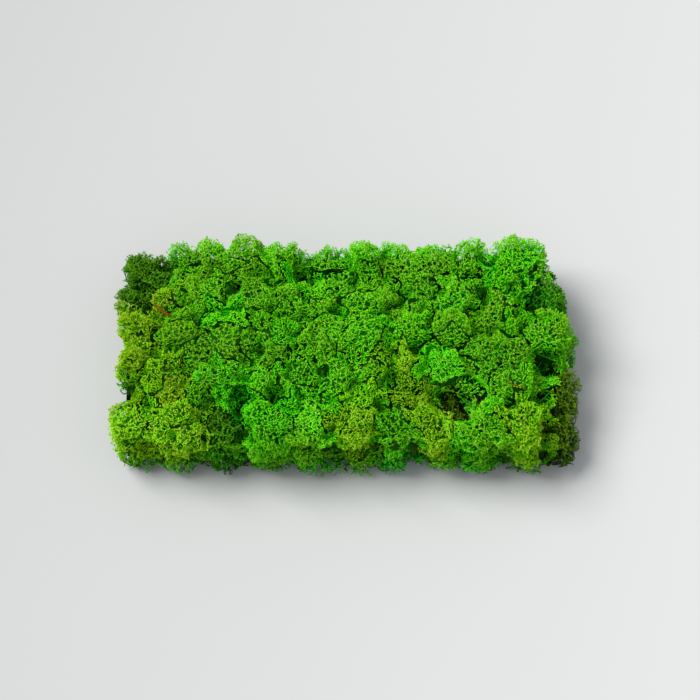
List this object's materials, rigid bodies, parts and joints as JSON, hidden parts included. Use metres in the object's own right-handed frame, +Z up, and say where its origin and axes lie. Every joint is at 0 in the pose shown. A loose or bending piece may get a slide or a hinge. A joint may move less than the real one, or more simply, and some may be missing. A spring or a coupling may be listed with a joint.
{
  "type": "reindeer moss clump",
  "caption": "Low oblong clump of green reindeer moss: finely branched round tufts grown side by side, standing on a flat cut base.",
  "frame": {"origin": "on the surface that the clump stands on, under the middle of its bounding box", "axes": "+X along the clump's length, to the right as the picture shows it; +Y from the front to the back; +Z up"},
  "size_m": [0.292, 0.142, 0.065],
  "materials": {
    "lime_moss": "matte, soft and felty, yellow-green",
    "spring_moss": "matte, soft and felty, bright green",
    "grass_moss": "matte, soft and felty, mid green",
    "deep_moss": "matte, soft and felty, dark green",
    "olive_moss": "matte, drier and sparser, olive green",
    "wood": "raw, weathered"
  },
  "bodies": {
    "root": {"tuft_back_1": "deep_moss", "tuft_back_2": "grass_moss", "tuft_back_3": "spring_moss", "tuft_back_4": "spring_moss", "tuft_back_5": "spring_moss", "tuft_back_6": "grass_moss", "tuft_back_7": "spring_moss", "tuft_back_8": "spring_moss", "tuft_back_9": "spring_moss", "tuft_back_10": "spring_moss", "tuft_back_11": "spring_moss", "tuft_rear_1": "deep_moss", "tuft_rear_2": "lime_moss", "tuft_rear_3": "spring_moss", "tuft_rear_4": "grass_moss", "tuft_rear_5": "spring_moss", "tuft_rear_6": "grass_moss", "tuft_rear_7": "spring_moss", "tuft_rear_8": "grass_moss", "tuft_rear_9": "spring_moss", "tuft_rear_10": "spring_moss", "tuft_rear_11": "deep_moss", "tuft_middle_1": "lime_moss", "tuft_middle_2": "spring_moss", "tuft_middle_3": "spring_moss", "tuft_middle_4": "grass_moss", "tuft_middle_5": "spring_moss", "tuft_middle_6": "spring_moss", "tuft_middle_7": "spring_moss", "tuft_middle_8": "spring_moss", "tuft_middle_9": "grass_moss", "tuft_middle_10": "spring_moss", "tuft_fore_1": "lime_moss", "tuft_fore_2": "lime_moss", "tuft_fore_3": "grass_moss", "tuft_fore_4": "spring_moss", "tuft_fore_5": "grass_moss", "tuft_fore_6": "spring_moss", "tuft_fore_7": "spring_moss", "tuft_fore_8": "lime_moss", "tuft_fore_9": "spring_moss", "tuft_fore_10": "spring_moss", "tuft_fore_11": "olive_moss", "tuft_front_1": "lime_moss", "tuft_front_2": "lime_moss", "tuft_front_3": "deep_moss", "tuft_front_4": "grass_moss", "tuft_front_5": "spring_moss", "tuft_front_6": "lime_moss", "tuft_front_7": "grass_moss", "tuft_front_8": "lime_moss", "tuft_front_9": "olive_moss", "tuft_front_10": "spring_moss", "tuft_front_11": "lime_moss", "tuft_front_12": "olive_moss", "bark_sliver": "wood", "pine_needle": "wood"}
  },
  "joints": []
}
